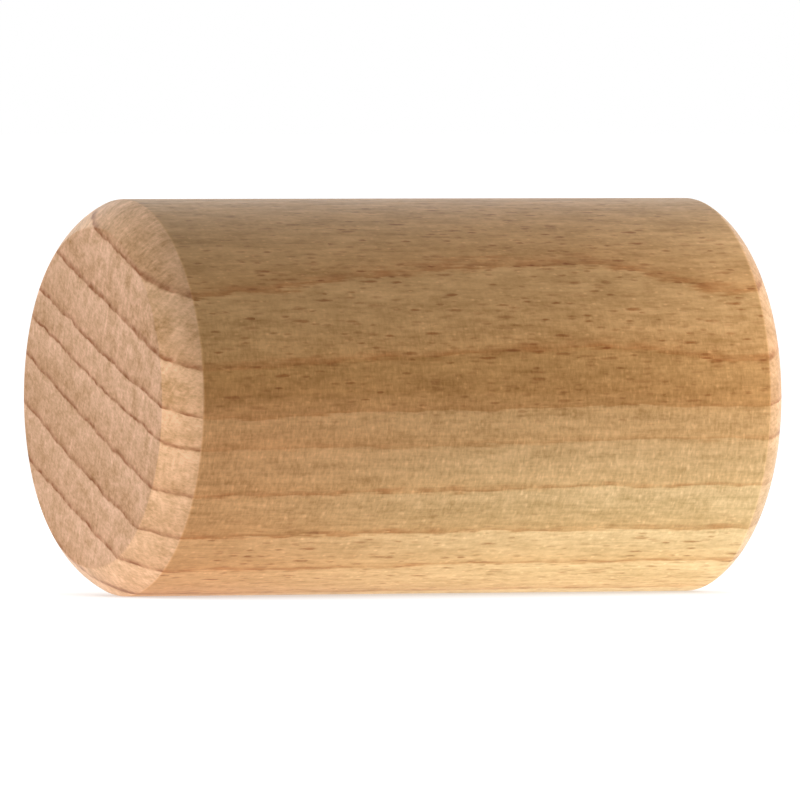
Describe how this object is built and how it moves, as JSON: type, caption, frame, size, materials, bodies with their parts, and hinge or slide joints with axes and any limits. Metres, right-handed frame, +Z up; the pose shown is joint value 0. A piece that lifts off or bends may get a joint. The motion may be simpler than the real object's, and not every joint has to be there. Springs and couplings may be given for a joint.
{
  "type": "percussion shaker",
  "caption": "Turned wooden cylinder with crowned bevels at both ends, bored hollow, filled with loose steel shot and closed by a flush glued plug; shaken by hand for rhythm.",
  "frame": {"origin": "on the surface that the shaker lies on, under the middle of the barrel", "axes": "+X along the barrel's axis from the closed end to the plug, +Z up, -Y towards the viewer"},
  "size_m": [0.0826, 0.048, 0.048],
  "materials": {
    "barrel_wood": "satin lacquered light hardwood, turned along the grain, end grain at the ends",
    "plug_wood": "satin lacquered light hardwood, face grain across the disc",
    "steel": "smooth bright steel shot"
  },
  "bodies": {
    "case": {"barrel": "barrel_wood", "end_plug": "plug_wood"},
    "shot_01": {"shot_01": "steel"},
    "shot_02": {"shot_02": "steel"},
    "shot_03": {"shot_03": "steel"},
    "shot_04": {"shot_04": "steel"},
    "shot_05": {"shot_05": "steel"},
    "shot_06": {"shot_06": "steel"},
    "shot_07": {"shot_07": "steel"},
    "shot_08": {"shot_08": "steel"},
    "shot_09": {"shot_09": "steel"},
    "shot_10": {"shot_10": "steel"},
    "shot_11": {"shot_11": "steel"},
    "shot_12": {"shot_12": "steel"},
    "shot_13": {"shot_13": "steel"},
    "shot_14": {"shot_14": "steel"},
    "shot_15": {"shot_15": "steel"},
    "shot_16": {"shot_16": "steel"},
    "shot_17": {"shot_17": "steel"},
    "shot_18": {"shot_18": "steel"},
    "shot_19": {"shot_19": "steel"},
    "shot_20": {"shot_20": "steel"},
    "shot_21": {"shot_21": "steel"},
    "shot_22": {"shot_22": "steel"},
    "shot_23": {"shot_23": "steel"},
    "shot_24": {"shot_24": "steel"},
    "shot_25": {"shot_25": "steel"},
    "shot_26": {"shot_26": "steel"},
    "shot_27": {"shot_27": "steel"},
    "shot_28": {"shot_28": "steel"},
    "shot_29": {"shot_29": "steel"},
    "shot_30": {"shot_30": "steel"},
    "shot_31": {"shot_31": "steel"},
    "shot_32": {"shot_32": "steel"},
    "shot_33": {"shot_33": "steel"},
    "shot_34": {"shot_34": "steel"},
    "shot_35": {"shot_35": "steel"},
    "shot_36": {"shot_36": "steel"},
    "shot_37": {"shot_37": "steel"},
    "shot_38": {"shot_38": "steel"},
    "shot_39": {"shot_39": "steel"},
    "shot_40": {"shot_40": "steel"}
  },
  "joints": [
    {"name": "shot_01_flight", "type": "slide", "parent": "case", "child": "shot_01", "axis": [0, 0, 1], "range_m": [0, 0.0269]},
    {"name": "shot_02_flight", "type": "slide", "parent": "case", "child": "shot_02", "axis": [0, 0, 1], "range_m": [0, 0.0269]},
    {"name": "shot_03_flight", "type": "slide", "parent": "case", "child": "shot_03", "axis": [0, 0, 1], "range_m": [0, 0.0269]},
    {"name": "shot_04_flight", "type": "slide", "parent": "case", "child": "shot_04", "axis": [0, 0, 1], "range_m": [0, 0.0269]},
    {"name": "shot_05_flight", "type": "slide", "parent": "case", "child": "shot_05", "axis": [0, 0, 1], "range_m": [0, 0.0269]},
    {"name": "shot_06_flight", "type": "slide", "parent": "case", "child": "shot_06", "axis": [0, 0, 1], "range_m": [0, 0.0269]},
    {"name": "shot_07_flight", "type": "slide", "parent": "case", "child": "shot_07", "axis": [0, 0, 1], "range_m": [0, 0.0269]},
    {"name": "shot_08_flight", "type": "slide", "parent": "case", "child": "shot_08", "axis": [0, 0, 1], "range_m": [0, 0.0269]},
    {"name": "shot_09_flight", "type": "slide", "parent": "case", "child": "shot_09", "axis": [0, 0, 1], "range_m": [0, 0.0269]},
    {"name": "shot_10_flight", "type": "slide", "parent": "case", "child": "shot_10", "axis": [0, 0, 1], "range_m": [0, 0.0269]},
    {"name": "shot_11_flight", "type": "slide", "parent": "case", "child": "shot_11", "axis": [0, 0, 1], "range_m": [0, 0.0269]},
    {"name": "shot_12_flight", "type": "slide", "parent": "case", "child": "shot_12", "axis": [0, 0, 1], "range_m": [0, 0.0269]},
    {"name": "shot_13_flight", "type": "slide", "parent": "case", "child": "shot_13", "axis": [0, 0, 1], "range_m": [0, 0.0269]},
    {"name": "shot_14_flight", "type": "slide", "parent": "case", "child": "shot_14", "axis": [0, 0, 1], "range_m": [0, 0.0269]},
    {"name": "shot_15_flight", "type": "slide", "parent": "case", "child": "shot_15", "axis": [0, 0, 1], "range_m": [0, 0.02558]},
    {"name": "shot_16_flight", "type": "slide", "parent": "case", "child": "shot_16", "axis": [0, 0, 1], "range_m": [0, 0.02558]},
    {"name": "shot_17_flight", "type": "slide", "parent": "case", "child": "shot_17", "axis": [0, 0, 1], "range_m": [0, 0.02558]},
    {"name": "shot_18_flight", "type": "slide", "parent": "case", "child": "shot_18", "axis": [0, 0, 1], "range_m": [0, 0.02558]},
    {"name": "shot_19_flight", "type": "slide", "parent": "case", "child": "shot_19", "axis": [0, 0, 1], "range_m": [0, 0.02558]},
    {"name": "shot_20_flight", "type": "slide", "parent": "case", "child": "shot_20", "axis": [0, 0, 1], "range_m": [0, 0.02558]},
    {"name": "shot_21_flight", "type": "slide", "parent": "case", "child": "shot_21", "axis": [0, 0, 1], "range_m": [0, 0.02558]},
    {"name": "shot_22_flight", "type": "slide", "parent": "case", "child": "shot_22", "axis": [0, 0, 1], "range_m": [0, 0.02558]},
    {"name": "shot_23_flight", "type": "slide", "parent": "case", "child": "shot_23", "axis": [0, 0, 1], "range_m": [0, 0.02558]},
    {"name": "shot_24_flight", "type": "slide", "parent": "case", "child": "shot_24", "axis": [0, 0, 1], "range_m": [0, 0.02558]},
    {"name": "shot_25_flight", "type": "slide", "parent": "case", "child": "shot_25", "axis": [0, 0, 1], "range_m": [0, 0.02558]},
    {"name": "shot_26_flight", "type": "slide", "parent": "case", "child": "shot_26", "axis": [0, 0, 1], "range_m": [0, 0.02558]},
    {"name": "shot_27_flight", "type": "slide", "parent": "case", "child": "shot_27", "axis": [0, 0, 1], "range_m": [0, 0.02558]},
    {"name": "shot_28_flight", "type": "slide", "parent": "case", "child": "shot_28", "axis": [0, 0, 1], "range_m": [0, 0.02558]},
    {"name": "shot_29_flight", "type": "slide", "parent": "case", "child": "shot_29", "axis": [0, 0, 1], "range_m": [0, 0.02558]},
    {"name": "shot_30_flight", "type": "slide", "parent": "case", "child": "shot_30", "axis": [0, 0, 1], "range_m": [0, 0.02558]},
    {"name": "shot_31_flight", "type": "slide", "parent": "case", "child": "shot_31", "axis": [0, 0, 1], "range_m": [0, 0.02558]},
    {"name": "shot_32_flight", "type": "slide", "parent": "case", "child": "shot_32", "axis": [0, 0, 1], "range_m": [0, 0.02558]},
    {"name": "shot_33_flight", "type": "slide", "parent": "case", "child": "shot_33", "axis": [0, 0, 1], "range_m": [0, 0.02558]},
    {"name": "shot_34_flight", "type": "slide", "parent": "case", "child": "shot_34", "axis": [0, 0, 1], "range_m": [0, 0.02558]},
    {"name": "shot_35_flight", "type": "slide", "parent": "case", "child": "shot_35", "axis": [0, 0, 1], "range_m": [0, 0.02558]},
    {"name": "shot_36_flight", "type": "slide", "parent": "case", "child": "shot_36", "axis": [0, 0, 1], "range_m": [0, 0.02558]},
    {"name": "shot_37_flight", "type": "slide", "parent": "case", "child": "shot_37", "axis": [0, 0, 1], "range_m": [0, 0.02558]},
    {"name": "shot_38_flight", "type": "slide", "parent": "case", "child": "shot_38", "axis": [0, 0, 1], "range_m": [0, 0.02558]},
    {"name": "shot_39_flight", "type": "slide", "parent": "case", "child": "shot_39", "axis": [0, 0, 1], "range_m": [0, 0.02558]},
    {"name": "shot_40_flight", "type": "slide", "parent": "case", "child": "shot_40", "axis": [0, 0, 1], "range_m": [0, 0.02558]}
  ]
}
